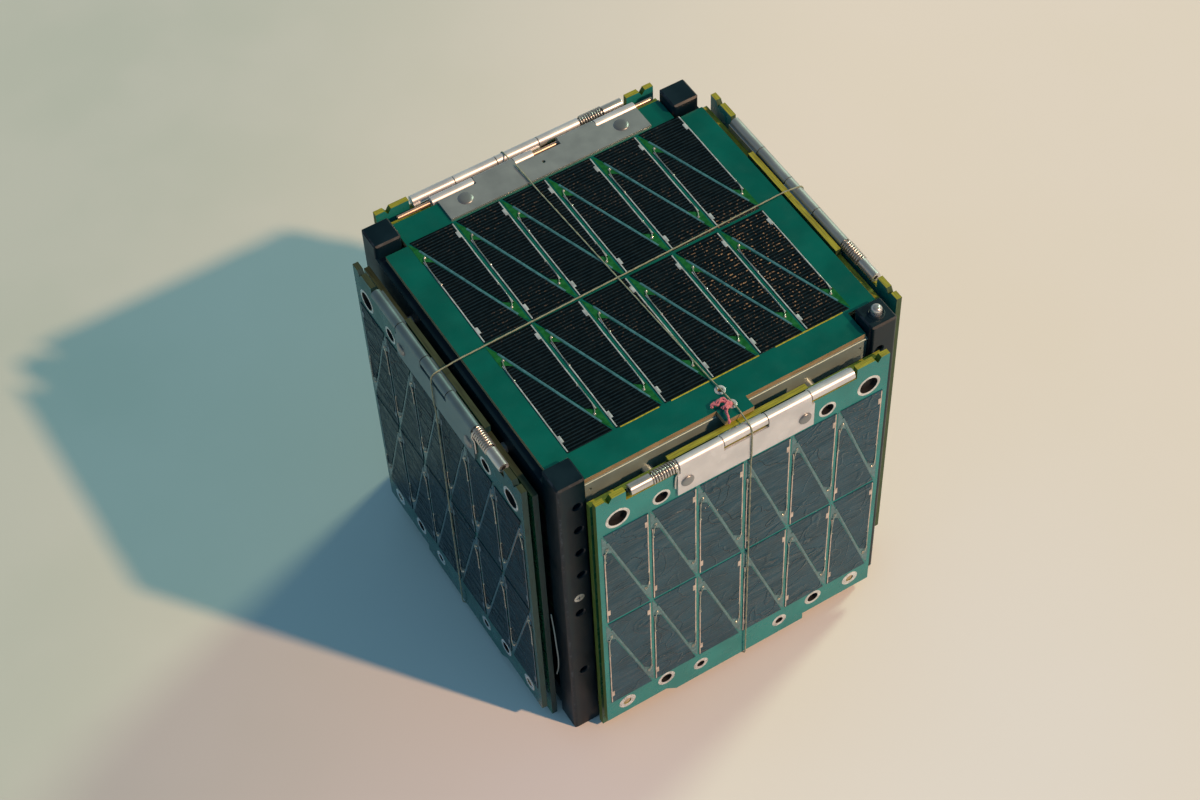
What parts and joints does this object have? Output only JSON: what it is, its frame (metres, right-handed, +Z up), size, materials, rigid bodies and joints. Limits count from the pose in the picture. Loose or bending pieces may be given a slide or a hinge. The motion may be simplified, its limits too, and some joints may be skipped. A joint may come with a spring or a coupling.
{
  "type": "cube satellite",
  "caption": "One-unit cube satellite with black corner rails, hinged solar panels on its sides and top, sprung side hinges and a separation plunger.",
  "frame": {"origin": "middle of the square on which the four rail feet stand, at their end faces", "axes": "+Z up along the rails, -Y towards the front panel with its spring at the left, +X to the right seen from the front"},
  "size_m": [0.1142, 0.1142, 0.1161],
  "materials": {
    "black_anodised": "black anodised aluminium, satin",
    "bare_aluminium": "milled",
    "hinge_leaf": "satin",
    "pin_steel": "polished",
    "spring_steel": "bright wire",
    "board_green": "solder mask on glass fibre board",
    "top_green": "dark emerald solder mask",
    "panel_green": "blue-green solder mask",
    "cell": "near-black solar cell under clear coat",
    "block": "plain"
  },
  "bodies": {
    "bus": {"side_frame_left": "black_anodised", "side_frame_right": "black_anodised", "rib_front_top": "bare_aluminium", "rib_front_bottom": "bare_aluminium", "rib_back_top": "bare_aluminium", "rib_back_bottom": "bare_aluminium", "inner_board_front": "board_green", "inner_board_back": "board_green", "inner_board_left": "board_green", "inner_board_right": "board_green", "board_spacers": "pin_steel", "bottom_board": "board_green", "top_deck": "board_green", "avionics_block": "block", "separation_spring": "pin_steel", "rail_screws": "pin_steel", "fixed_leaf_front": "hinge_leaf", "fixed_leaf_back": "hinge_leaf", "fixed_leaf_left": "hinge_leaf", "fixed_leaf_right": "hinge_leaf", "fixed_leaf_top": "hinge_leaf", "pin_front": "pin_steel", "pin_back": "pin_steel", "pin_left": "pin_steel", "pin_right": "pin_steel", "pin_top": "pin_steel", "spring_front": "spring_steel", "spring_back": "spring_steel", "spring_left": "spring_steel", "spring_right": "spring_steel"},
    "panel_front": {"leaf_front": "hinge_leaf", "board_front": "panel_green", "cells_front": "cell"},
    "panel_back": {"leaf_back": "hinge_leaf", "board_back": "panel_green", "cells_back": "cell"},
    "panel_left": {"leaf_left": "hinge_leaf", "board_left": "panel_green", "cells_left": "cell"},
    "panel_right": {"leaf_right": "hinge_leaf", "board_right": "panel_green", "cells_right": "cell"},
    "panel_top": {"leaf_top": "hinge_leaf", "board_top": "top_green", "cells_top": "cell"}
  },
  "joints": [
    {"name": "hinge_front", "type": "hinge", "parent": "bus", "child": "panel_front", "pos_m": [0, -0.0554, 0.1085], "axis": [-1, 0, 0], "range_deg": [0, 90]},
    {"name": "hinge_back", "type": "hinge", "parent": "bus", "child": "panel_back", "pos_m": [0, 0.0554, 0.1085], "axis": [1, 0, 0], "range_deg": [0, 90]},
    {"name": "hinge_left", "type": "hinge", "parent": "bus", "child": "panel_left", "pos_m": [-0.0554, 0, 0.1085], "axis": [0, 1, 0], "range_deg": [0, 90]},
    {"name": "hinge_right", "type": "hinge", "parent": "bus", "child": "panel_right", "pos_m": [0.0554, 0, 0.1085], "axis": [0, -1, 0], "range_deg": [0, 90]},
    {"name": "hinge_top", "type": "hinge", "parent": "bus", "child": "panel_top", "pos_m": [0, 0.0512, 0.1096], "axis": [-1, 0, 0], "range_deg": [0, 90]}
  ]
}
